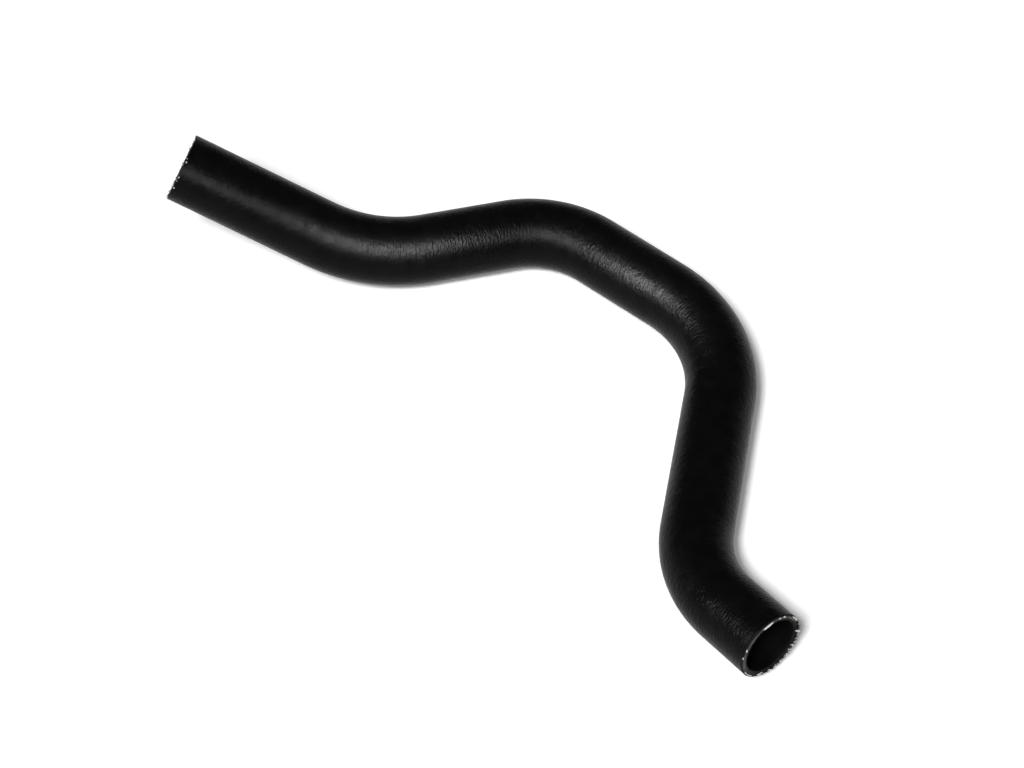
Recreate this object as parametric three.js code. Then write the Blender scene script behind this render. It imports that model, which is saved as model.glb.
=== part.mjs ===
// Moulded coolant hose: one rubber tube, open from end to end, with five straight legs
// and four bends that were set in the mould. It lies on its three middle legs, which
// share one level, and both end legs climb away from the floor.
// Millimetres and degrees, +Z up, origin under the middle of the hose at floor level.

import * as THREE from "three";

// Section of the tube
const bore = 35;
const wall = 4;

// Legs, from the long end to the short end, each measured to the points where the
// centrelines of neighbouring legs would cross
const longEndLeg = 128.5;
const secondLeg = 118;
const thirdLeg = 136;
const fourthLeg = 177;
const shortEndLeg = 68;

// How far the end legs climb, from the floor towards their cut ends
const longEndClimb = 22.4;
const shortEndClimb = 7;

// Direction of the first leg seen from above, and the turn at each bend, left positive
const firstHeading = -15.6;
const firstTurn = 28.3;
const secondTurn = -51.9;
const thirdTurn = -61.1;
const fourthTurn = 49.2;

// Centreline radius of each bend
const firstBendRadius = 112;
const secondBendRadius = 64;
const thirdBendRadius = 84;
const fourthBendRadius = 69;

// Fineness of the facets: points on a quarter of the section, and length of one slice
const pointsPerQuarter = 8;
const sliceLength = 10;

const rubber = new THREE.MeshStandardMaterial({
  name: "moulded_rubber",
  color: 0x121212,
  roughness: 0.6,
  metalness: 0,
});

// A circular bend that leaves its start along one direction and curls towards another.
class BendCurve extends THREE.Curve {
  constructor(start, along, inward, radius, angle) {
    super();
    Object.assign(this, { start, along, inward, radius, angle });
  }

  getPoint(t, target = new THREE.Vector3()) {
    const turned = this.angle * t;
    return target
      .copy(this.start)
      .addScaledVector(this.along, this.radius * Math.sin(turned))
      .addScaledVector(this.inward, this.radius * (1 - Math.cos(turned)));
  }
}

// The step from one crossing point to the next.
function legVector(length, heading, climb) {
  const level = length * Math.cos(THREE.MathUtils.degToRad(climb));
  const yaw = THREE.MathUtils.degToRad(heading);
  return new THREE.Vector3(
    level * Math.cos(yaw),
    level * Math.sin(yaw),
    length * Math.sin(THREE.MathUtils.degToRad(climb)),
  );
}

// The crossing points of the centreline, the two cut ends included.
function crossingPoints() {
  const headings = [firstHeading];
  for (const turn of [firstTurn, secondTurn, thirdTurn, fourthTurn]) {
    headings.push(headings.at(-1) + turn);
  }
  const legs = [
    legVector(longEndLeg, headings[0], -longEndClimb),
    legVector(secondLeg, headings[1], 0),
    legVector(thirdLeg, headings[2], 0),
    legVector(fourthLeg, headings[3], 0),
    legVector(shortEndLeg, headings[4], shortEndClimb),
  ];
  const points = [new THREE.Vector3()];
  for (const leg of legs) {
    points.push(points.at(-1).clone().add(leg));
  }
  return points;
}

// The centreline: straight legs joined by bends of the given radii.
function centreline(points, radii) {
  const route = new THREE.CurvePath();
  let straightStart = points[0];
  radii.forEach((radius, i) => {
    const corner = points[i + 1];
    const arriving = corner.clone().sub(points[i]).normalize();
    const leaving = points[i + 2].clone().sub(corner).normalize();
    const angle = arriving.angleTo(leaving);
    const setback = radius * Math.tan(angle / 2);
    const bendStart = corner.clone().addScaledVector(arriving, -setback);
    const inward = leaving.clone().projectOnPlane(arriving).normalize();
    route.add(new THREE.LineCurve3(straightStart, bendStart));
    route.add(new BendCurve(bendStart, arriving, inward, radius, angle));
    straightStart = corner.clone().addScaledVector(leaving, setback);
  });
  route.add(new THREE.LineCurve3(straightStart, points.at(-1)));
  return route;
}

// The wall seen end on: a ring whose hole is the bore.
function section() {
  const ring = new THREE.Shape();
  ring.absarc(0, 0, bore / 2 + wall, 0, 2 * Math.PI);
  const hole = new THREE.Path();
  hole.absarc(0, 0, bore / 2, 0, 2 * Math.PI);
  ring.holes.push(hole);
  return ring;
}

// The hose, set down on the floor with the origin under the middle of its box.
function hoseGeometry() {
  const route = centreline(crossingPoints(), [
    firstBendRadius,
    secondBendRadius,
    thirdBendRadius,
    fourthBendRadius,
  ]);
  const geometry = new THREE.ExtrudeGeometry(section(), {
    steps: Math.ceil(route.getLength() / sliceLength),
    curveSegments: 2 * pointsPerQuarter,
    extrudePath: route,
  });
  geometry.computeBoundingBox();
  const box = geometry.boundingBox;
  const middle = box.getCenter(new THREE.Vector3());
  return geometry.translate(-middle.x, -middle.y, -box.min.z);
}

const group = new THREE.Group();
const hose = new THREE.Mesh(hoseGeometry(), rubber);
hose.name = "hose";
group.add(hose);

export default group;
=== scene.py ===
"""Looks of a moulded rubber coolant hose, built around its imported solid.

The hose is one black rubber tube with five straight legs and four moulded bends. The
knit inside its wall shows through the cover as faint, uneven ribs, and pale yarn ends
stand in its two cut faces. The frame is the part's own: origin on the floor under the
middle of the hose, +Z up. Sizes are in metres and angles in degrees, unless something
else is said.
"""

import logging
import math
from dataclasses import dataclass, replace
from enum import Enum

import bpy
import numpy as np
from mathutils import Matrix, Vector


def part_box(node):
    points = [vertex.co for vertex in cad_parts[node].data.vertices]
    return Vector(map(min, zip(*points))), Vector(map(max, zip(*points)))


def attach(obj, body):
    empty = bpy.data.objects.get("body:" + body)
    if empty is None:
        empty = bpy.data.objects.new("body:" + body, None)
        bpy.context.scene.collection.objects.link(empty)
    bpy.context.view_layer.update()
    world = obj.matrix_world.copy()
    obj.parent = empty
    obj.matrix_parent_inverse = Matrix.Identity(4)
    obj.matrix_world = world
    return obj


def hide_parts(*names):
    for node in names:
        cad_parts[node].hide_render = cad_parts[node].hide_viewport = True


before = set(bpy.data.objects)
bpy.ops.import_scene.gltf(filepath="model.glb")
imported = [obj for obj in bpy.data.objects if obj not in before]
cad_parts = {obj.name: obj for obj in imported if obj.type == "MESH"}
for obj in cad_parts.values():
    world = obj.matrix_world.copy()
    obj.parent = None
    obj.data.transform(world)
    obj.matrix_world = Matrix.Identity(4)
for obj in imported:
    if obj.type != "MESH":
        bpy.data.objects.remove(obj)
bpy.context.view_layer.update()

BODY = "root"
HOSE_NODE = "hose"
PLACE = "place"
MM_PER_M = 1000.0
FULL_TURN = 2.0 * math.pi
NODE_SPACING = 180.0
WHITE = (1.0, 1.0, 1.0, 1.0)

Array = np.ndarray
Material = bpy.types.Material
Span = tuple[float, float]
Triple = tuple[float, float, float]
Socket = bpy.types.NodeSocket
Sockets = dict[str, Socket]
SocketList = bpy.types.bpy_prop_collection

UNIT_SPAN: Span = (0.0, 1.0)
GRAIN_SPAN: Span = (0.3, 0.9)  # usual range of the rubber grain's height

log = logging.getLogger("coolant_hose")


class Slot(Enum):
    """Material slots of the part's record."""

    RUBBER = "moulded_rubber"
    YARN = "reinforcement_yarn"


class HoseEnd(Enum):
    """The two cut ends. The value is the sign of the way out, along the centreline."""

    LONG = -1
    SHORT = 1


class Surface(Enum):
    """Surfaces of the moulded tube, with the places of their materials on the mesh."""

    COVER = 0
    CUT = 1
    LINER = 2


class YarnLie(Enum):
    """How a cut yarn lies on the face."""

    LAID = "both ends in the rubber"
    LOOSE = "one end free"


def unit(vector: Array) -> Array:
    """Returns the vector, or each row of an array of vectors, at length 1."""
    return vector / np.linalg.norm(vector, axis=-1, keepdims=True)


def smooth_step(value: Array) -> Array:
    """Returns a soft ramp from 0 to 1 as value goes from 0 to 1."""
    held = np.clip(value, 0.0, 1.0)
    return held * held * (3.0 - 2.0 * held)


@dataclass(frozen=True)
class Stretch:
    """A straight or circular stretch of the centreline."""

    start: Array  # the point where it starts
    along: Array  # the direction in which it starts
    inward: Array  # the direction towards the middle of its bend
    radius: float  # the bend's radius, infinite on a straight
    length: float

    def at(self, distance: Array) -> tuple[Array, Array]:
        """Finds places on the stretch.

        Args:
            distance: distances from its start.

        Returns:
            The points and the directions there, one row for each distance.
        """
        if math.isinf(self.radius):
            points = self.start + distance[:, None] * self.along
            return points, np.broadcast_to(self.along, points.shape)
        turned = distance[:, None] / self.radius
        across = self.radius * (1.0 - np.cos(turned))
        points = self.start + self.radius * np.sin(turned) * self.along + across * self.inward
        return points, np.cos(turned) * self.along + np.sin(turned) * self.inward


@dataclass(frozen=True)
class Stations:
    """Places on the centreline, one row for each, with the section's two directions."""

    point: Array
    along: Array
    up: Array
    side: Array

    def around(self, radius: Array, angle: Array) -> Array:
        """Returns points at a radius and an angle from the section's top, in radians."""
        outward = np.cos(angle)[:, None] * self.up + np.sin(angle)[:, None] * self.side
        return self.point + radius[:, None] * outward


@dataclass(frozen=True)
class Route:
    """The centreline from the long end to the short end, as legs that meet in bends."""

    # Lengths of the legs, each to the points where neighbours would cross
    legs: tuple[float, ...] = (0.1285, 0.118, 0.136, 0.177, 0.068)
    # How steeply each leg rises on the way to the short end
    climbs: tuple[float, ...] = (-22.4, 0.0, 0.0, 0.0, 7.0)
    first_heading: float = -15.6  # direction of the first leg, seen from above
    # Turn at each bend, seen from above, left positive
    turns: tuple[float, ...] = (28.3, -51.9, -61.1, 49.2)
    bend_radii: tuple[float, ...] = (0.112, 0.064, 0.084, 0.069)
    start: Triple = (0.0, 0.0, 0.0)  # the middle of the long end's cut face

    def crossings(self) -> Array:
        """Finds the points where the legs would cross.

        Returns:
            The points in order, with both cut ends.
        """
        headings = np.radians(self.first_heading + np.cumsum((0.0, *self.turns)))
        climbs = np.radians(self.climbs)
        level = np.array(self.legs) * np.cos(climbs)
        rise = np.array(self.legs) * np.sin(climbs)
        steps = np.stack([level * np.cos(headings), level * np.sin(headings), rise], axis=1)
        return np.array(self.start) + np.vstack([np.zeros(3), np.cumsum(steps, axis=0)])

    def stretches(self) -> list[Stretch]:
        """Cuts the centreline into stretches.

        Returns:
            The straights and bends in order.
        """
        corners = self.crossings()
        found = []
        straight_start = corners[0]
        for i, radius in enumerate(self.bend_radii):
            arriving = unit(corners[i + 1] - corners[i])
            leaving = unit(corners[i + 2] - corners[i + 1])
            cosine = float(arriving @ leaving)
            angle = math.acos(cosine)
            setback = radius * math.tan(angle / 2.0)
            bend_start = corners[i + 1] - setback * arriving
            inward = unit(leaving - cosine * arriving)
            run = float(np.linalg.norm(bend_start - straight_start))
            found.append(Stretch(straight_start, arriving, inward, math.inf, run))
            found.append(Stretch(bend_start, arriving, inward, radius, radius * angle))
            straight_start = corners[i + 1] + setback * leaving
        last = corners[-1] - straight_start
        run = float(np.linalg.norm(last))
        found.append(Stretch(straight_start, unit(last), unit(last), math.inf, run))
        return found

    def length(self) -> float:
        """Returns the length of the centreline."""
        return sum(stretch.length for stretch in self.stretches())

    def end_distance(self, end: HoseEnd) -> float:
        """Returns the distance at which a cut end lies."""
        return self.length() if end is HoseEnd.SHORT else 0.0

    def stations(self, distance: Array) -> Stations:
        """Finds places on the centreline.

        Args:
            distance: distances from the long end. One past an end lies straight ahead.

        Returns:
            The places, with directions that keep the top of the section uppermost.
        """
        pieces = self.stretches()
        starts = np.cumsum([0.0] + [piece.length for piece in pieces[:-1]])
        owner = np.clip(np.searchsorted(starts, distance, side="right") - 1, 0, None)
        point = np.empty((len(distance), 3))
        along = np.empty((len(distance), 3))
        for index, piece in enumerate(pieces):
            mine = owner == index
            point[mine], along[mine] = piece.at(distance[mine] - starts[index])
        side = unit(np.cross(along, (0.0, 0.0, 1.0)))
        return Stations(point, along, np.cross(side, along), side)

    def placed(self, low: Vector, high: Vector, outer_radius: float) -> "Route":
        """Sets the route down where the solid hose lies.

        Args:
            low: lowest corner of the solid hose's box.
            high: highest corner of that box.
            outer_radius: radius of the tube around the centreline.

        Returns:
            The same route, with the middle and the floor of its tube's box on the solid's.
        """
        rings, sides = 400, 180
        distance = np.repeat(np.linspace(0.0, self.length(), rings), sides)
        angle = np.tile(np.linspace(0.0, FULL_TURN, sides, endpoint=False), rings)
        tube = self.stations(distance).around(np.full(len(distance), outer_radius), angle)
        own_low, own_high = tube.min(axis=0), tube.max(axis=0)
        shift = (np.array(low) + np.array(high) - own_low - own_high) / 2.0
        shift[2] = low.z - own_low[2]
        return replace(self, start=tuple((np.array(self.start) + shift).tolist()))


@dataclass(frozen=True)
class Waves:
    """A smooth random pattern on the tube that closes on itself all round."""

    seed: int  # chooses the pattern
    shortest: float  # shortest wave along the hose
    longest: float  # longest wave along the hose
    most_around: int  # the most waves round the section
    count: int = 24  # number of waves that are added up
    peak: float = 1.5  # height of the sum's usual peaks, which becomes 1

    def at(self, distance: Array, angle: Array) -> Array:
        """Reads the pattern.

        Args:
            distance: distances along the centreline.
            angle: angles round the section, in radians.

        Returns:
            Values around 0, mostly from -1 to 1.
        """
        rng = np.random.default_rng(self.seed)
        total = np.zeros(np.broadcast(distance, angle).shape)
        for _ in range(self.count):
            around = int(rng.integers(-self.most_around, self.most_around + 1))
            wave = math.exp(rng.uniform(math.log(self.shortest), math.log(self.longest)))
            phase = rng.uniform(0.0, FULL_TURN)
            total += np.cos(around * angle + FULL_TURN * distance / wave + phase)
        return total / math.sqrt(self.count / 2.0) / self.peak


@dataclass(frozen=True)
class KnitRelief:
    """Ribs that the knitted reinforcement raises in the cover."""

    pitch: float = 0.0018  # distance from rib to rib
    height: float = 0.00005  # height of a rib above the groove beside it
    slant: float = 0.0016  # how far a rib leans along the hose, from side to side
    wander: float = 0.0009  # how far a rib strays from its line
    plain_end: float = 0.006  # length at each cut end over which the ribs die away
    steps: int = 4  # rings for each rib
    usual: float = 0.85  # share of the height that a rib usually has
    uneven: float = 0.55  # how far that share swings
    shares: Span = (0.1, 1.6)  # the least and the most that it can be
    stray: Waves = Waves(seed=11, shortest=0.009, longest=0.045, most_around=7)
    patches: Waves = Waves(seed=29, shortest=0.004, longest=0.030, most_around=10)

    def fade(self, distance: Array, length: float) -> Array:
        """Returns 1 along the hose and a soft fall to 0 at its two ends."""
        return smooth_step(np.minimum(distance, length - distance) / self.plain_end)

    def shift(self, distance: Array, angle: Array, length: float) -> Array:
        """Returns how far each point of a rib lies from the rib's own place."""
        stray = self.wander * self.stray.at(distance, angle)
        return (stray + self.slant * np.sin(angle)) * self.fade(distance, length)

    def rise(self, ring: Array, distance: Array, angle: Array, length: float) -> Array:
        """Finds how far the cover rises above the plain tube.

        Args:
            ring: number of each point's ring, counted from the long end.
            distance: its distance along the centreline.
            angle: its angle round the section, in radians.
            length: length of the hose.

        Returns:
            The height of each point, below 0 in a groove.
        """
        profile = np.cos(FULL_TURN * ring / self.steps)
        share = self.usual + self.uneven * self.patches.at(distance, angle)
        share = np.clip(share, *self.shares)
        return 0.5 * self.height * profile * share * self.fade(distance, length)


@dataclass(frozen=True)
class Rings:
    """Rings of points round the centreline, one row for each ring."""

    distance: Array  # distance along the centreline, for each point
    radius: Array  # distance from the centreline, for each point
    pattern: Array  # distance that the surface's pattern is read at, for each ring
    surface: Surface  # surface of the faces between them. Those past the last are cut face


class Wiring:
    """Adds nodes to one node tree and links them."""

    def __init__(self, tree: bpy.types.NodeTree) -> None:
        """Starts at the left of the tree."""
        self.tree = tree
        self.column = 0

    def node(
        self, kind: str, inputs: dict[str | int, object] | None = None, **settings: object
    ) -> bpy.types.Node:
        """Adds a node.

        Args:
            kind: the node's type.
            inputs: a value or a socket to link, for each input's name or number.
            settings: properties of the node.

        Returns:
            The new node.
        """
        node = self.tree.nodes.new(kind)
        node.location = (NODE_SPACING * self.column, 0.0)
        self.column += 1
        for name, value in settings.items():
            setattr(node, name, value)
        for key, value in (inputs or {}).items():
            if isinstance(value, Socket):
                self.tree.links.new(value, node.inputs[key])
            else:
                node.inputs[key].default_value = value
        return node

    def math(self, operation: str, *values: object) -> Socket:
        """Adds a Math node and returns its result."""
        return self.node("ShaderNodeMath", dict(enumerate(values)), operation=operation).outputs[0]

    def vector_math(self, operation: str, output: str, inputs: dict[str | int, object]) -> Socket:
        """Adds a Vector Math node and returns one of its outputs."""
        return self.node("ShaderNodeVectorMath", inputs, operation=operation).outputs[output]

    def angle(self, place: Socket) -> Socket:
        """Returns the angle of a place round the section, in radians."""
        axes = self.node("ShaderNodeSeparateXYZ", {0: place}).outputs
        return self.math("ARCTAN2", axes["Y"], axes["X"])

    def noise(self, place: Socket, size: object, detail: float) -> Socket:
        """Returns a noise whose lumps have the given size."""
        inputs = {"Vector": place, "Scale": self.math("DIVIDE", 1.0, size), "Detail": detail}
        return self.node("ShaderNodeTexNoise", inputs).outputs[0]

    def bump(self, height: Socket, depth: float, **under: Socket) -> Socket:
        """Returns a normal tilted by a height, from the surface's or the one in Normal."""
        inputs = {"Height": height, "Distance": depth, **under}
        return self.node("ShaderNodeBump", inputs).outputs[0]

    def ramp(self, value: Socket, span: Span, to: Span = UNIT_SPAN) -> Socket:
        """Returns a soft ramp over the values in to, as value goes over the span."""
        ends = {"From Min": span[0], "From Max": span[1], "To Min": to[0], "To Max": to[1]}
        return self.node(
            "ShaderNodeMapRange", {"Value": value, **ends}, interpolation_type="SMOOTHSTEP"
        ).outputs["Result"]

    def blend(self, factor: Socket, first: Triple | Socket, second: Triple | Socket) -> Socket:
        """Mixes two colours.

        Args:
            factor: share of the second colour.
            first: a colour, or the socket that gives it.
            second: the same.

        Returns:
            The mixed colour.
        """
        node = self.node("ShaderNodeMix", {"Factor": factor}, data_type="RGBA")
        colours = [socket for socket in node.inputs if socket.type == "RGBA"]
        for socket, colour in zip(colours, (first, second)):
            if isinstance(colour, Socket):
                self.tree.links.new(colour, socket)
            else:
                socket.default_value = (*colour, 1.0)
        return next(socket for socket in node.outputs if socket.type == "RGBA")

    def finish(self, **inputs: object) -> None:
        """Ends a material in a Principled BSDF.

        Args:
            inputs: a value or a socket for each input, with _ for a space in its name.
        """
        named = {name.replace("_", " "): value for name, value in inputs.items()}
        shader = self.node("ShaderNodeBsdfPrincipled", named)
        self.node("ShaderNodeOutputMaterial", {"Surface": shader.outputs[0]})


class Effect:
    """A shader node group that several materials use. Lengths in it are millimetres."""

    name = "effect"
    inputs: tuple[str, ...] = ()
    outputs: tuple[str, ...] = ()

    def tree(self) -> bpy.types.NodeTree:
        """Finds the node group, which is built on its first use.

        Returns:
            The group's nodes, with a place on the surface as their first input.
        """
        found = bpy.data.node_groups.get(self.name)
        if found is not None:
            return found
        tree = bpy.data.node_groups.new(self.name, "ShaderNodeTree")
        tree.interface.new_socket(name="Place", in_out="INPUT", socket_type="NodeSocketVector")
        for way, names in (("INPUT", self.inputs), ("OUTPUT", self.outputs)):
            for name in names:
                tree.interface.new_socket(name=name, in_out=way, socket_type="NodeSocketFloat")
        wiring = Wiring(tree)
        entry = wiring.node("NodeGroupInput")
        wiring.node("NodeGroupOutput", self.wire(wiring, entry.outputs))
        return tree

    def wire(self, wiring: Wiring, given: SocketList) -> Sockets:
        """Adds the effect's nodes.

        Args:
            wiring: the group's nodes.
            given: the group's inputs.

        Returns:
            The socket behind each output.
        """
        raise NotImplementedError

    def place(self, wiring: Wiring, place: Socket, *sizes: float) -> SocketList:
        """Puts the effect into a material.

        Args:
            wiring: the material's nodes.
            place: the place on the surface.
            sizes: a value for each other input, in order.

        Returns:
            The effect's outputs.
        """
        values = {"Place": place, **dict(zip(self.inputs, sizes))}
        return wiring.node("ShaderNodeGroup", values, node_tree=self.tree()).outputs


class RubberGrain(Effect):
    """Fine grain with pores, and slow mottle, of moulded rubber."""

    name = "rubber_grain"
    inputs = ("Grain Size", "Mottle Size")
    outputs = ("Height", "Mottle")

    grain_detail = 3.0
    pore_share = 0.35
    mottle_detail = 2.0
    mottle_span: Span = (0.3, 0.7)

    def wire(self, wiring: Wiring, given: SocketList) -> Sockets:
        """Adds the effect's nodes.

        Args:
            wiring: the group's nodes.
            given: the group's inputs.

        Returns:
            The socket behind each output.
        """
        place, grain_size = given["Place"], given["Grain Size"]
        fine = wiring.math("DIVIDE", 1.0, grain_size)
        pores = wiring.node("ShaderNodeTexVoronoi", {"Vector": place, "Scale": fine})
        grain = wiring.noise(place, grain_size, self.grain_detail)
        height = wiring.math("MULTIPLY_ADD", pores.outputs["Distance"], self.pore_share, grain)
        mottle = wiring.noise(place, given["Mottle Size"], self.mottle_detail)
        return {"Height": height, "Mottle": wiring.ramp(mottle, self.mottle_span)}


class KnitLoops(Effect):
    """Ribs of the knit, scalloped by its loops, which come and go in patches."""

    name = "knit_loops"
    inputs = ("Rib Pitch", "Loops Round")
    outputs = ("Height", "Yarn")

    scallop = 0.16
    patch_size = 5.0
    patch_detail = 2.0
    patch_span: Span = (0.38, 0.7)
    patch_strength: Span = (0.1, 1.0)
    yarn_span: Span = (0.2, 0.9)

    def wire(self, wiring: Wiring, given: SocketList) -> Sockets:
        """Adds the effect's nodes.

        Args:
            wiring: the group's nodes.
            given: the group's inputs.

        Returns:
            The socket behind each output.
        """
        place = given["Place"]
        half_loops = wiring.math("MULTIPLY", given["Loops Round"], 0.5)
        turned = wiring.math("MULTIPLY", wiring.angle(place), half_loops)
        loop = wiring.math("ABSOLUTE", wiring.math("SINE", turned))
        along = wiring.node("ShaderNodeSeparateXYZ", {0: place}).outputs["Z"]
        rib = wiring.math("DIVIDE", along, given["Rib Pitch"])
        bent = wiring.math("MULTIPLY_ADD", loop, self.scallop, rib)
        crest = wiring.math("COSINE", wiring.math("MULTIPLY", bent, FULL_TURN))
        patches = wiring.noise(place, self.patch_size, self.patch_detail)
        strength = wiring.ramp(patches, self.patch_span, self.patch_strength)
        yarn = wiring.math("MULTIPLY", wiring.ramp(crest, self.yarn_span), loop)
        return {"Height": wiring.math("MULTIPLY", crest, strength), "Yarn": yarn}


class FibreStreaks(Effect):
    """Streaks drawn out along Z where Stretch is above 1, and across it where below."""

    name = "fibre_streaks"
    inputs = ("Fibre Size", "Stretch")
    outputs = ("Height",)

    detail = 3.0

    def wire(self, wiring: Wiring, given: SocketList) -> Sockets:
        """Adds the effect's nodes.

        Args:
            wiring: the group's nodes.
            given: the group's inputs.

        Returns:
            The socket behind each output.
        """
        axes = wiring.node("ShaderNodeSeparateXYZ", {0: given["Place"]}).outputs
        along = wiring.math("DIVIDE", axes["Z"], given["Stretch"])
        drawn = wiring.node("ShaderNodeCombineXYZ", {0: axes["X"], 1: axes["Y"], 2: along})
        return {"Height": wiring.noise(drawn.outputs[0], given["Fibre Size"], self.detail)}


def fresh_wiring(block: Material | bpy.types.World) -> Wiring:
    """Empties the nodes of a material or of the world.

    Args:
        block: the material or the world.

    Returns:
        Its wiring.
    """
    block.use_nodes = True
    block.node_tree.nodes.clear()
    return Wiring(block.node_tree)


def new_material(name: str) -> tuple[Material, Wiring, Socket]:
    """Starts a material.

    Args:
        name: the material's name.

    Returns:
        The material, its wiring, and the place on the surface in millimetres: x and y
        across the section, z along the hose.
    """
    material = bpy.data.materials.new(name)
    wiring = fresh_wiring(material)
    stored = wiring.node("ShaderNodeAttribute", attribute_name=PLACE).outputs["Vector"]
    return material, wiring, wiring.vector_math("SCALE", "Vector", {0: stored, "Scale": MM_PER_M})


@dataclass(frozen=True)
class CoverFinish:
    """The ribbed satin cover. Lengths are in millimetres, bump depths in metres."""

    dark: Triple = (0.0026, 0.0026, 0.0027)
    pale: Triple = (0.0034, 0.0034, 0.0035)
    roughness: Span = (0.29, 0.34)
    specular: float = 0.051
    grain_size: float = 0.7
    grain_depth: float = 0.00011
    mottle_size: float = 9.0
    rib_pitch: float = 1.8
    loops_round: float = 52.0
    loop_depth: float = 0.00003
    streak_size: float = 3.6
    streak_stretch: float = 0.38
    streak_depth: float = 0.00040

    def material(self) -> Material:
        """Builds the cover's material.

        Returns:
            The material.
        """
        material, wiring, place = new_material("hose_cover")
        grain = RubberGrain().place(wiring, place, self.grain_size, self.mottle_size)
        knit = KnitLoops().place(wiring, place, self.rib_pitch, self.loops_round)
        streaks = FibreStreaks().place(wiring, place, self.streak_size, self.streak_stretch)
        ribbed = wiring.bump(knit["Height"], self.loop_depth)
        streaked = wiring.bump(streaks["Height"], self.streak_depth, Normal=ribbed)
        wiring.finish(
            Base_Color=wiring.blend(grain["Mottle"], self.dark, self.pale),
            Roughness=wiring.ramp(grain["Mottle"], UNIT_SPAN, self.roughness),
            Specular_IOR_Level=self.specular,
            Normal=wiring.bump(grain["Height"], self.grain_depth, Normal=streaked),
        )
        return material


@dataclass(frozen=True)
class LinerFinish:
    """The smooth liner of the bore. Lengths are in millimetres, bump depths in metres."""

    dark: Triple = (0.0016, 0.0016, 0.0017)
    pale: Triple = (0.0026, 0.0026, 0.0027)
    roughness: Span = (0.42, 0.58)
    specular: float = 0.085
    grain_size: float = 0.5
    mottle_size: float = 14.0
    streak_size: float = 1.2
    streak_stretch: float = 20.0
    streak_depth: float = 0.00006

    def material(self) -> Material:
        """Builds the liner's material.

        Returns:
            The material.
        """
        material, wiring, place = new_material("hose_liner")
        grain = RubberGrain().place(wiring, place, self.grain_size, self.mottle_size)
        streaks = FibreStreaks().place(wiring, place, self.streak_size, self.streak_stretch)
        wiring.finish(
            Base_Color=wiring.blend(grain["Mottle"], self.dark, self.pale),
            Roughness=wiring.ramp(grain["Height"], GRAIN_SPAN, self.roughness),
            Specular_IOR_Level=self.specular,
            Normal=wiring.bump(streaks["Height"], self.streak_depth),
        )
        return material


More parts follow.
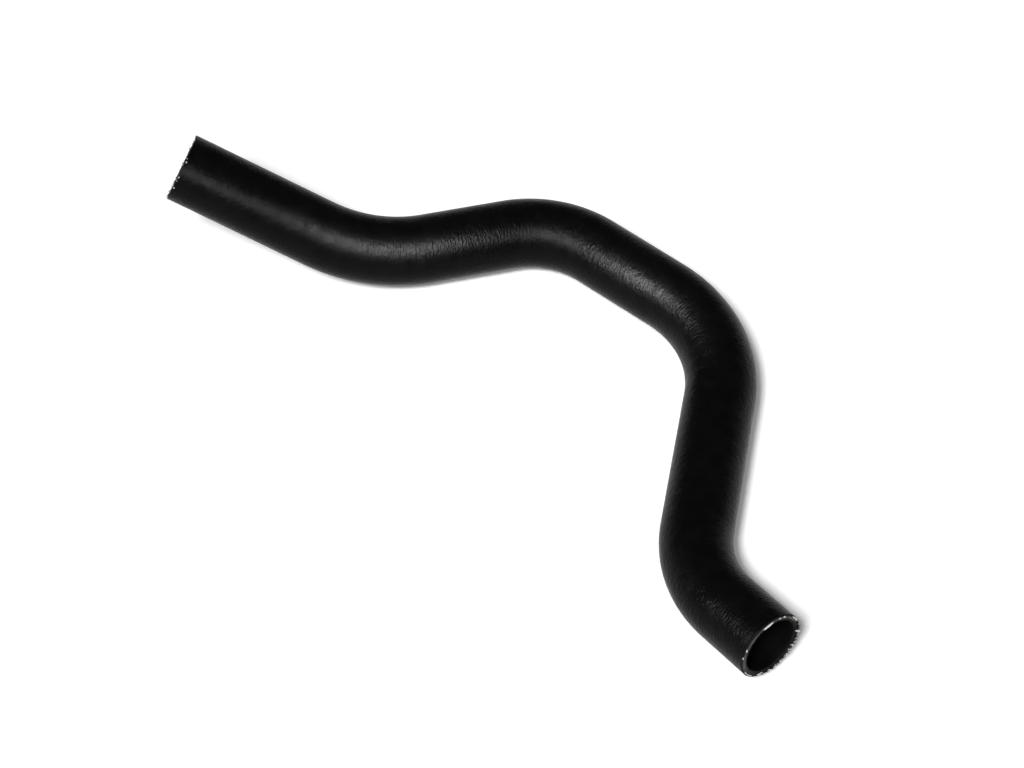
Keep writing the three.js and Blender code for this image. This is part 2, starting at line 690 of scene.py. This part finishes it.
@dataclass(frozen=True)
class CutFinish:
    """The cut faces. Lengths are in millimetres, bump depths in metres.

    The knit's cut edge shows as a pale line over the upper part of the face only; that it
    shows there and not lower down is painted light. A paler patch of painted light lies on
    the rubber at one side. Both middles are angles from the section's top. A reach is how
    far a part goes to either side, and full_share is the share of it at full strength.
    """

    rubber: Triple = (0.0030, 0.0030, 0.0031)
    # painted light: colour of a paler patch at one side of the face, standing for light on it
    painted_light: Triple = (0.040, 0.039, 0.037)
    # the knit's cut edge, a real pale line; that it is drawn only over the upper part is painted
    # light
    line: Triple = (0.13, 0.127, 0.12)
    yarn: Triple = (0.50, 0.49, 0.46)
    roughness: Span = (0.50, 0.68)
    specular: float = 0.085
    grain_size: float = 0.45
    grain_depth: float = 0.00006
    mottle_size: float = 3.0
    layer_radius: float = 19.6
    layer_half_width: float = 0.55
    line_half_width: float = 0.9
    line_core_half_width: float = 0.45
    # the part of the face the line is drawn over, standing for where light falls: painted light
    painted_light_line_middle: float = 15.0
    painted_light_line_reach: float = 110.0
    # where the patch of painted light lies on the face
    painted_light_middle: float = 84.0
    painted_light_reach: float = 62.0
    painted_light_radii: Span = (20.9, 20.6)
    full_share: float = 0.6
    unevenness: Span = (0.45, 1.0)
    fleck_span: Span = (0.45, 0.8)
    loop_span: Span = (0.2, 0.7)
    rib_pitch: float = 1.8
    loops_round: float = 52.0

    def sector(self, wiring: Wiring, place: Socket, middle: float, reach: float) -> Socket:
        """Masks a part of the face.

        Args:
            wiring: the material's nodes.
            place: the place on the surface.
            middle: the angle in the middle of the part.
            reach: how far it goes to either side.

        Returns:
            1 near the middle, falling to 0 at the reach.
        """
        turned = wiring.math("SUBTRACT", wiring.angle(place), math.radians(middle))
        edge = math.cos(math.radians(reach))
        full = math.cos(math.radians(self.full_share * reach))
        return wiring.ramp(wiring.math("COSINE", turned), (edge, full))

    def material(self) -> Material:
        """Builds the cut faces' material, with flecks of yarn in the middle of the wall.

        Returns:
            The material.
        """
        material, wiring, place = new_material("hose_cut_face")
        grain = RubberGrain().place(wiring, place, self.grain_size, self.mottle_size)
        knit = KnitLoops().place(wiring, place, self.rib_pitch, self.loops_round)
        flat = wiring.vector_math("MULTIPLY", "Vector", {0: place, 1: (1.0, 1.0, 0.0)})
        radius = wiring.vector_math("LENGTH", "Value", {0: flat})
        offset = wiring.math("ABSOLUTE", wiring.math("SUBTRACT", radius, self.layer_radius))
        uneven = wiring.ramp(grain["Mottle"], UNIT_SPAN, self.unevenness)
        # painted light: a paler patch on the rubber at one side of the face
        inside = wiring.ramp(radius, self.painted_light_radii)
        painted_light_part = self.sector(wiring, place, self.painted_light_middle, self.painted_light_reach)
        painted_light_mask = wiring.math("MULTIPLY", wiring.math("MULTIPLY", painted_light_part, inside), uneven)
        # painted light: the knit's real pale edge is kept only over the upper part, where the face
        # is lit
        painted_light_line_part = self.sector(wiring, place, self.painted_light_line_middle, self.painted_light_line_reach)
        band = wiring.ramp(offset, (self.line_half_width, self.line_core_half_width))
        line = wiring.math("MULTIPLY", wiring.math("MULTIPLY", painted_light_line_part, band), uneven)
        layer = wiring.ramp(offset, (self.layer_half_width, 0.0))
        loops = wiring.ramp(knit["Yarn"], self.loop_span)
        chance = wiring.ramp(grain["Mottle"], self.fleck_span)
        fleck = wiring.math("MULTIPLY", wiring.math("MULTIPLY", layer, loops), chance)
        # the patch of painted light mixed into the rubber's colour
        painted_light_mixed = wiring.blend(painted_light_mask, self.rubber, self.painted_light)
        wiring.finish(
            Base_Color=wiring.blend(fleck, wiring.blend(line, painted_light_mixed, self.line), self.yarn),
            Roughness=wiring.ramp(grain["Height"], GRAIN_SPAN, self.roughness),
            Specular_IOR_Level=self.specular,
            Normal=wiring.bump(grain["Height"], self.grain_depth),
        )
        return material


@dataclass(frozen=True)
class YarnFinish:
    """The pale yarn. Lengths are in millimetres, bump depths in metres."""

    shaded: Triple = (0.55, 0.54, 0.51)
    clean: Triple = (0.84, 0.83, 0.80)
    shading_span: Span = (0.35, 0.65)
    roughness: float = 0.85
    sheen: float = 0.3
    fibre_size: float = 0.07
    fibre_stretch: float = 14.0
    fibre_depth: float = 0.00003

    def material(self) -> Material:
        """Builds the yarn's material.

        Returns:
            The material.
        """
        material, wiring, place = new_material("yarn")
        height = FibreStreaks().place(wiring, place, self.fibre_size, self.fibre_stretch)["Height"]
        shading = wiring.ramp(height, self.shading_span)
        wiring.finish(
            Base_Color=wiring.blend(shading, self.shaded, self.clean),
            Roughness=self.roughness,
            Sheen_Weight=self.sheen,
            Normal=wiring.bump(height, self.fibre_depth),
        )
        return material


def new_object(name: str, data: bpy.types.ID) -> bpy.types.Object:
    """Adds an object to the scene.

    Args:
        name: its name.
        data: its mesh, lamp or lens.

    Returns:
        The object.
    """
    piece = bpy.data.objects.new(name, data)
    bpy.context.scene.collection.objects.link(piece)
    return piece


def mesh_object(
    name: str,
    points: Array,
    faces: Array | list[tuple[int, ...]],
    place: Array,
    materials: list[Material],
) -> bpy.types.Object:
    """Makes a smooth mesh object.

    Args:
        name: the piece's name.
        points: its corners.
        faces: the corners of each face.
        place: for each corner, what its material reads as its place.
        materials: its materials.

    Returns:
        The new object, in the scene.
    """
    mesh = bpy.data.meshes.new(name)
    mesh.from_pydata(points.tolist(), [], [tuple(face) for face in faces])
    stored = mesh.attributes.new(PLACE, "FLOAT_VECTOR", "POINT")
    stored.data.foreach_set("vector", np.asarray(place, np.float32).ravel())
    mesh.polygons.foreach_set("use_smooth", [True] * len(mesh.polygons))
    for material in materials:
        mesh.materials.append(material)
    mesh.update()
    return new_object(name, mesh)


@dataclass(frozen=True)
class HoseBody:
    """The moulded tube: ribbed cover, smooth liner and two cut faces, as one closed skin."""

    route: Route
    bore: float = 0.035
    wall: float = 0.004
    sides: int = 64  # corners of each ring
    liner_step: float = 0.004  # distance between the liner's rings
    edge: float = 0.0004  # radius of the slight rounding at the rims of the cut faces
    cut_rows: int = 8  # rows of faces across each cut face
    cut_roughness: float = 0.00008  # how far a cut face strays from flat
    layer_share: float = 0.52  # how far out in the wall the knit lies, as a share of the wall
    layer_spread: float = 0.15  # how widely its cut edge is raised, as a share of the wall
    layer_ridge: float = 0.00012  # height of that edge above the rubber beside it
    knit: KnitRelief = KnitRelief()
    cut_waves: Waves = Waves(seed=5, shortest=0.0015, longest=0.006, most_around=26)

    @property
    def outer_radius(self) -> float:
        """Radius of the outside of the tube."""
        return self.bore / 2.0 + self.wall

    def angles(self) -> Array:
        """Returns the angle of each corner of a ring, in radians."""
        return np.linspace(0.0, FULL_TURN, self.sides, endpoint=False)

    def cover(self) -> Rings:
        """Lays out the cover.

        Returns:
            Its rings, from the long end to the short end.
        """
        length = self.route.length()
        ribs = round((length - 2.0 * self.edge) / self.knit.pitch)
        count = ribs * self.knit.steps + 1
        place = np.linspace(self.edge, length - self.edge, count)
        angle = self.angles()[None, :]
        shifted = place[:, None] + self.knit.shift(place[:, None], angle, length)
        rise = self.knit.rise(np.arange(count)[:, None], shifted, angle, length)
        return Rings(shifted, self.outer_radius + rise, place, Surface.COVER)

    def cut_face(self, end: HoseEnd) -> Rings:
        """Lays out a cut face with its two rims.

        Args:
            end: the end of the hose.

        Returns:
            Its rings, outside first at the short end and inside first at the long end.
        """
        inner_radius = self.bore / 2.0
        set_in = self.edge * (1.0 - math.sqrt(0.5))
        flat = np.linspace(self.outer_radius - self.edge, inner_radius + self.edge, self.cut_rows)
        radius = np.concatenate([[self.outer_radius - set_in], flat, [inner_radius + set_in]])
        depth = np.concatenate([[set_in], np.zeros(len(flat)), [set_in]])
        inside = (depth == 0.0).astype(float)[:, None]
        from_layer = radius - inner_radius - self.layer_share * self.wall
        ridge = self.layer_ridge * np.exp(-((from_layer / (self.layer_spread * self.wall)) ** 2))
        rough = self.cut_waves.at(radius[:, None], self.angles()[None, :]) * inside
        proud = self.cut_roughness * rough + (ridge - depth)[:, None]
        face_distance = self.route.end_distance(end)
        distance = face_distance + end.value * proud
        radii = np.repeat(radius[:, None], self.sides, axis=1)
        pattern = np.full(len(radius), face_distance)
        order = end.value
        return Rings(distance[::order], radii[::order], pattern, Surface.CUT)

    def liner(self) -> Rings:
        """Lays out the liner.

        Returns:
            Its rings, from the short end to the long end.
        """
        length = self.route.length()
        place = np.linspace(length - self.edge, self.edge, round(length / self.liner_step))
        distance = np.repeat(place[:, None], self.sides, axis=1)
        return Rings(distance, np.full_like(distance, self.bore / 2.0), place, Surface.LINER)

    def build(self, materials: dict[Surface, Material]) -> None:
        """Builds the tube, which stands for the solid hose.

        Args:
            materials: the material of each surface.
        """
        short_face, long_face = self.cut_face(HoseEnd.SHORT), self.cut_face(HoseEnd.LONG)
        parts = [self.cover(), short_face, self.liner(), long_face]
        distance = np.concatenate([part.distance for part in parts])
        radius = np.concatenate([part.radius for part in parts])
        pattern = np.concatenate([part.pattern for part in parts])
        angle = np.broadcast_to(self.angles(), distance.shape)
        points = self.route.stations(distance.ravel()).around(radius.ravel(), angle.ravel())
        along = np.broadcast_to(pattern[:, None], radius.shape)
        place = np.stack([radius * np.cos(angle), radius * np.sin(angle), along], axis=-1)
        rings = len(distance)
        here = np.arange(rings)[:, None] * self.sides + np.arange(self.sides)
        ahead = np.roll(here, -1, axis=0)
        faces = np.stack(
            [here, np.roll(here, -1, axis=1), np.roll(ahead, -1, axis=1), ahead], axis=-1
        )
        skins = [materials[which] for which in Surface]
        piece = mesh_object(
            "moulded_hose", points, faces.reshape(-1, 4), place.reshape(-1, 3), skins
        )
        surfaces = []
        for part in parts:
            surfaces += [part.surface.value] * (len(part.pattern) - 1) + [Surface.CUT.value]
        piece.data.polygons.foreach_set("material_index", np.repeat(surfaces, self.sides))
        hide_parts(HOSE_NODE)
        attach(piece, BODY)
        log.info("%s: %d rings of %d corners", piece.name, rings, self.sides)


@dataclass(frozen=True)
class Yarn:
    """One cut yarn on a face. Angles run anticlockwise from the top, seen from outside."""

    angle: float  # where it starts
    turn: float  # how far round the face it runs
    radius: float  # distance of its start from the middle of the bore
    outward: float  # how much further out its far end lies
    proud: float  # how far it stands off the face
    thickness: float
    bow: float = 0.0  # how far its middle swings outward of the straight way
    lie: YarnLie = YarnLie.LOOSE


# Yarns placed after the photograph: angle, turn, radius, outward, proud, thickness, and a
# bow where there is one. On the short end they lie on the face or stick out of it, and on
# the long end they fold over the upper side of the rim.
SHORT_END_LAID = (
    (-9.0, 23.0, 0.0193, 0.0, 0.0006, 0.0013),
    (283.0, 22.0, 0.0208, -0.0002, 0.0007, 0.0011),
    (108.0, 29.0, 0.0204, 0.0, 0.0005, 0.0006),
    (150.0, 9.0, 0.0206, -0.0012, 0.0012, 0.0006, -0.0016),
    (335.5, 5.0, 0.0199, 0.0, 0.0004, 0.0007),
    (326.0, 4.0, 0.0203, 0.0, 0.0006, 0.0009),
    (56.5, 3.5, 0.0205, 0.0, 0.0005, 0.0009),
    (71.0, 4.0, 0.0211, 0.0, 0.0003, 0.0006),
)
SHORT_END_LOOSE = (
    (262.0, -3.0, 0.0192, 0.0026, 0.0012, 0.0010),
    (231.0, 2.0, 0.0196, 0.0018, 0.0010, 0.0006),
    (222.0, 2.5, 0.0197, 0.0019, 0.0010, 0.0007),
    (210.0, 7.0, 0.0203, 0.0014, 0.0012, 0.0006),
    (200.0, 2.0, 0.0200, 0.0014, 0.0007, 0.0004),
    (189.0, 2.0, 0.0200, 0.0016, 0.0008, 0.0004),
    (176.0, 2.0, 0.0202, 0.0015, 0.0008, 0.0004),
)
LONG_END_FOLDED = (
    (331.0, 3.0, 0.0206, 0.0014, -0.0008, 0.0009),
    (308.0, -4.0, 0.0206, 0.0014, -0.0007, 0.0008),
    (282.0, 3.0, 0.0206, 0.0014, -0.0008, 0.0010),
    (297.0, 2.0, 0.0207, 0.0012, -0.0005, 0.0006),
    (341.0, -3.0, 0.0207, 0.0011, -0.0004, 0.0006),
)


def placed_yarns(rows: tuple[tuple[float, ...], ...], lie: YarnLie) -> tuple[Yarn, ...]:
    """Returns the yarns of a table, which all lie in one way."""
    return tuple(Yarn(*row, lie=lie) for row in rows)


@dataclass(frozen=True)
class Scatter:
    """Short loose ends scattered over a part of a face."""

    seed: int  # chooses the scatter
    count: int  # how many there are
    size: float  # thickness of a usual one
    first: float = 0.0  # angle at which the part begins
    last: float = 360.0  # angle at which it ends
    start: Span = (0.1, 0.9)  # where an end starts, as shares of its own piece of the part
    turn: Span = (-4.0, 4.0)
    radius: Span = (0.0194, 0.0205)
    outward: Span = (0.0004, 0.0018)
    proud: Span = (0.7, 1.6)  # range of how far it stands off the face, as shares of size
    thickness: Span = (0.7, 1.2)  # range of its thickness, as shares of size

    def yarns(self) -> tuple[Yarn, ...]:
        """Draws the loose ends.

        Returns:
            The ends, in order round the face.
        """
        rng = np.random.default_rng(self.seed)
        pitch = (self.last - self.first) / self.count
        found = []
        for number in range(self.count):
            angle = self.first + pitch * (number + rng.uniform(*self.start))
            along = [rng.uniform(*span) for span in (self.turn, self.radius, self.outward)]
            thick = [rng.uniform(*span) * self.size for span in (self.proud, self.thickness)]
            found.append(Yarn(angle, *along, *thick))
        return tuple(found)


@dataclass(frozen=True)
class YarnEnds:
    """The yarns that show on one cut face, each twisted from a few strands."""

    route: Route
    end: HoseEnd
    yarns: tuple[Yarn, ...]
    label: str = "yarn"  # what they are, for the piece's name
    slot: Slot = Slot.YARN
    strands: int = 3  # strands in a yarn
    points: int = 16  # points along a strand
    sides: int = 7  # corners round a strand
    twist_length: float = 0.0022  # length of one turn of the strands
    least_taper: float = 0.05  # how thin a strand becomes at its ends, squared
    fibre_step: float = 0.01  # how far apart two strands read the pattern of their fibres
    # A step that no yarn runs along, which the strands' sections turn from
    off_line: Triple = (0.013, 0.007, 0.011)
    # In thicknesses of a yarn
    sunk: float = 0.4  # how deep it starts in the rubber
    strand_offset: float = 0.27  # distance of a strand from the yarn's middle
    strand_radius: float = 0.25
    tip_length: float = 0.2  # length of the point at each end of a strand
    fibre_radius: float = 0.3  # distance from a strand's middle at which its fibres are read

    def path(self, yarn: Yarn, station: Stations) -> Array:
        """Finds the middle line of a yarn.

        Args:
            yarn: the yarn.
            station: the middle of the face.

        Returns:
            Points from its start to its far end.
        """
        share = np.linspace(0.0, 1.0, self.points)
        angle = np.radians(yarn.angle + yarn.turn * share)
        radius = yarn.radius + yarn.outward * share + yarn.bow * np.sin(math.pi * share)
        if yarn.lie is YarnLie.LAID:
            lift = yarn.proud * np.sqrt(np.sin(math.pi * share).clip(0.0))
        else:
            lift = yarn.proud * np.sin(0.5 * math.pi * np.sqrt(share))
        lift = lift - self.sunk * yarn.thickness * (1.0 - share)
        outward_normal = self.end.value * station.along[0]
        up = station.up[0]
        left = np.cross(outward_normal, up)
        across = np.cos(angle)[:, None] * up + np.sin(angle)[:, None] * left
        return station.point[0] + radius[:, None] * across + lift[:, None] * outward_normal

    def strand_faces(self) -> list[tuple[int, ...]]:
        """Lists the faces of a strand, whose two tips follow its rings.

        Returns:
            The corners of each face.
        """
        first_tip = self.points * self.sides
        last_row = first_tip - self.sides
        pairs = [(j, (j + 1) % self.sides) for j in range(self.sides)]
        faces = []
        for row in range(0, last_row, self.sides):
            ahead = row + self.sides
            faces += [(row + j, row + k, ahead + k, ahead + j) for j, k in pairs]
        for j, k in pairs:
            faces += [(first_tip, k, j), (first_tip + 1, last_row + j, last_row + k)]
        return faces

    def strand(self, middle: Array, yarn: Yarn, number: int) -> tuple[Array, Array]:
        """Lays out one strand of a yarn.

        Args:
            middle: the yarn's middle line.
            yarn: the yarn.
            number: the strand's number in the yarn.

        Returns:
            Its points and their places for the material.
        """
        along = unit(np.gradient(middle, axis=0))
        reference = unit(np.cross(along, middle[-1] - middle[0] + self.off_line))
        second = np.cross(along, reference)
        run = np.concatenate([[0.0], np.cumsum(np.linalg.norm(np.diff(middle, axis=0), axis=1))])
        share = run / run[-1]
        turned = FULL_TURN * (number / self.strands + run / self.twist_length)
        taper = np.sqrt(np.clip(1.0 - (2.0 * share - 1.0) ** 4, self.least_taper, 1.0))
        offset = (self.strand_offset * yarn.thickness * taper)[:, None]
        centre = middle + offset * (
            np.cos(turned)[:, None] * reference + np.sin(turned)[:, None] * second
        )
        angle = np.linspace(0.0, FULL_TURN, self.sides, endpoint=False)
        thick = (self.strand_radius * yarn.thickness * taper)[:, None, None]
        ring = thick * (
            np.cos(angle)[None, :, None] * reference[:, None, :]
            + np.sin(angle)[None, :, None] * second[:, None, :]
        )
        tube = (centre[:, None, :] + ring).reshape(-1, 3)
        points_out = np.stack([-along[0], along[-1]]) * self.tip_length * yarn.thickness
        fibre_radius = self.fibre_radius * yarn.thickness
        place = np.stack(
            [
                np.tile(fibre_radius * np.cos(angle), self.points),
                np.tile(fibre_radius * np.sin(angle), self.points),
                np.repeat(run + self.fibre_step * number, self.sides),
            ],
            axis=1,
        )
        tip_place = np.array([[0.0, 0.0, 0.0], [0.0, 0.0, run[-1]]])
        return np.vstack([tube, centre[[0, -1]] + points_out]), np.vstack([place, tip_place])

    def build(self, material: Material) -> None:
        """Builds all the yarns of the face as one piece.

        Args:
            material: the yarn's material.
        """
        station = self.route.stations(np.array([self.route.end_distance(self.end)]))
        strands = []
        for yarn in self.yarns:
            middle = self.path(yarn, station)
            strands += [self.strand(middle, yarn, number) for number in range(self.strands)]
        points, places = (np.vstack(part) for part in zip(*strands))
        strand_faces = self.strand_faces()
        faces = [
            tuple(count + index for index in face)
            for count in range(0, len(points), len(strands[0][0]))
            for face in strand_faces
        ]
        name = f"{self.end.name.lower()}_end_{self.label}"
        piece = mesh_object(name, points, faces, places, [material])
        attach(piece, BODY)
        log.info("%s: %d ends", piece.name, len(self.yarns))


def hang(name: str, lamp: bpy.types.Light, place: Vector, away: Vector) -> bpy.types.Object:
    """Hangs a lamp up, unseen by the camera.

    Args:
        name: the lamp's name.
        lamp: the lamp.
        place: where it hangs.
        away: the way from what it lights to the lamp.

    Returns:
        The lamp's object.
    """
    piece = new_object(name, lamp)
    piece.location = place
    piece.rotation_euler = away.to_track_quat("Z", "Y").to_euler()
    piece.visible_camera = False
    return piece


@dataclass(frozen=True)
class KeyLight:
    """The main light: broad, far away and even over the whole floor."""

    toward: Triple = (-0.22, -0.51, 0.83)  # the way to it
    spread: float = 11.0  # how wide it looks from the floor
    brightness: float = 0.85  # what it adds to a white floor, where 1 is white
    distance: float = 3.0  # how far off it stands, which changes nothing in the picture

    def build(self) -> None:
        """Hangs the lamp, which makes no glints: the soft boxes make those."""
        away = Vector(self.toward).normalized()
        lamp = bpy.data.lights.new("key", "SUN")
        lamp.angle = math.radians(self.spread)
        lamp.energy = self.brightness * math.pi / away.z
        piece = hang("key", lamp, self.distance * away, away)
        piece.visible_glossy = False


@dataclass(frozen=True)
class SoftBox:
    """A soft box that only makes glints."""

    name: str
    place: Triple  # where its middle hangs
    radiance: float  # mean brightness of its face, where 1 is white
    size: Span = (0.30, 0.46)  # width and height
    aim: Triple = (0.02, 0.07, 0.03)  # the point that it faces
    spread: float = 180.0  # how widely its light fans out

    def build(self) -> None:
        """Hangs the lamp."""
        lamp = bpy.data.lights.new(self.name, "AREA")
        lamp.shape = "RECTANGLE"
        lamp.size, lamp.size_y = self.size
        lamp.spread = math.radians(self.spread)
        lamp.energy = self.radiance * math.pi * self.size[0] * self.size[1]
        piece = hang(self.name, lamp, Vector(self.place), Vector(self.place) - Vector(self.aim))
        piece.visible_diffuse = False


@dataclass(frozen=True)
class Camera:
    """The camera, at the photograph's viewing angle."""

    aim: Triple = (0.02588, 0.04237, 0.0)  # the point on the floor in the middle of the picture
    distance: float = 1.7032  # distance from there
    elevation: float = 52.79  # how steeply it looks down
    focal_pixels: float = 2800.0  # focal length in pixels of the picture
    picture_width: float = 1024.0  # width of the picture in pixels
    sensor_width: float = 36.0  # width of the sensor in millimetres
    clip_end: float = 10.0  # how far it sees

    def build(self) -> None:
        """Sets the camera up as the scene's."""
        lens = bpy.data.cameras.new("camera")
        lens.sensor_fit = "HORIZONTAL"
        lens.sensor_width = self.sensor_width
        lens.lens = self.focal_pixels / self.picture_width * self.sensor_width
        lens.clip_end = self.clip_end
        piece = new_object("camera", lens)
        down = math.radians(self.elevation)
        back = Vector((0.0, -math.cos(down), math.sin(down)))
        piece.location = Vector(self.aim) + self.distance * back
        piece.rotation_euler = (math.pi / 2.0 - down, 0.0, 0.0)
        bpy.context.scene.camera = piece


@dataclass(frozen=True)
class Studio:
    """A plain pale floor, soft boxes and a white background."""

    floor_size: Span = (6.0, 6.0)  # width and depth of the floor
    floor_colour: Triple = (0.96, 0.96, 0.96)
    floor_glow: float = 0.22  # what is added to it in the picture and in reflections
    room: float = 0.05  # brightness of the room above the floor
    key: KeyLight = KeyLight()
    boxes: tuple[SoftBox, ...] = (
        SoftBox("front", (0.00, -1.10, 1.12), 26.0, (0.60, 0.46)),
        SoftBox("right", (0.48, -0.93, 1.20), 8.0),
        SoftBox("left", (-0.99, -0.78, 1.02), 74.0),
        SoftBox(
            "first_bend", (-0.024, 0.020, 0.160), 7.8, (0.08, 0.07), (-0.043, 0.09, 0.04), 55.0
        ),
        SoftBox(
            "third_bend", (0.016, 0.033, 0.158), 7.6, (0.08, 0.07), (0.115, 0.093, 0.03), 50.0
        ),
    )

    def floor(self) -> None:
        """Lays the floor."""
        half_width, half_depth = self.floor_size[0] / 2.0, self.floor_size[1] / 2.0
        signs = ((-1, -1), (1, -1), (1, 1), (-1, 1))
        mesh = bpy.data.meshes.new("floor")
        corners = [(x * half_width, y * half_depth, 0.0) for x, y in signs]
        mesh.from_pydata(corners, [], [(0, 1, 2, 3)])
        mesh.materials.append(self.floor_material())
        piece = new_object("floor", mesh)

    def floor_material(self) -> Material:
        """Builds the floor's material, which is white where no shadow falls.

        Its glow shows in the picture, directly, mirrored or through glass, and lights nothing.

        Returns:
            The material.
        """
        material = bpy.data.materials.new("floor")
        wiring = fresh_wiring(material)
        colour = (*self.floor_colour, 1.0)
        paper = {"Base Color": colour, "Roughness": 1.0, "Specular IOR Level": 0.0}
        glow = {"Emission Color": WHITE, "Emission Strength": self.floor_glow}
        plain = wiring.node("ShaderNodeBsdfPrincipled", paper).outputs[0]
        bright = wiring.node("ShaderNodeBsdfPrincipled", paper | glow).outputs[0]
        path = wiring.node("ShaderNodeLightPath").outputs
        seen = wiring.math("MAXIMUM", path["Is Camera Ray"], path["Is Glossy Ray"])
        seen = wiring.math("MAXIMUM", seen, path["Is Transmission Ray"])
        mixed = wiring.node("ShaderNodeMixShader", {0: seen, 1: plain, 2: bright})
        wiring.node("ShaderNodeOutputMaterial", {"Surface": mixed.outputs[0]})
        return material

    def world(self) -> None:
        """Lights the room evenly and dimly."""
        world = bpy.data.worlds.new("studio")
        bpy.context.scene.world = world
        wiring = fresh_wiring(world)
        background = wiring.node("ShaderNodeBackground", {"Color": WHITE, "Strength": self.room})
        wiring.node("ShaderNodeOutputWorld", {"Surface": background.outputs[0]})

    def build(self) -> None:
        """Builds the studio round the hose."""
        self.floor()
        self.world()
        self.key.build()
        for box in self.boxes:
            box.build()
        bpy.context.scene.view_settings.view_transform = "Standard"
        log.info("studio: floor, room, key light and %d soft boxes", len(self.boxes))


def main() -> None:
    """Builds the hose, its yarn ends and crumbs, the studio and the camera."""
    logging.basicConfig(level=logging.INFO, format="%(name)s: %(message)s")
    Camera().build()
    low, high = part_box(HOSE_NODE)
    unplaced = Route()
    route = unplaced.placed(low, high, HoseBody(unplaced).outer_radius)
    materials = {
        Surface.COVER: CoverFinish().material(),
        Surface.CUT: CutFinish().material(),
        Surface.LINER: LinerFinish().material(),
    }
    HoseBody(route).build(materials)
    laid = placed_yarns(SHORT_END_LAID, YarnLie.LAID)
    loose = placed_yarns(SHORT_END_LOOSE, YarnLie.LOOSE)
    folded = placed_yarns(LONG_END_FOLDED, YarnLie.LOOSE)
    fine = Scatter(seed=23, count=16, size=0.0006).yarns()
    yarn = YarnFinish().material()
    YarnEnds(route, HoseEnd.SHORT, laid + loose).build(yarn)
    YarnEnds(route, HoseEnd.LONG, folded + fine).build(yarn)
    for end, crumbs in (
        (HoseEnd.SHORT, Scatter(seed=17, count=36, size=0.0007, first=160.0, last=290.0)),
        (HoseEnd.LONG, Scatter(seed=41, count=30, size=0.0004)),
    ):
        rubber = materials[Surface.CUT]
        YarnEnds(route, end, crumbs.yarns(), "crumbs", Slot.RUBBER).build(rubber)
    Studio().build()


if __name__ == "__main__":
    main()
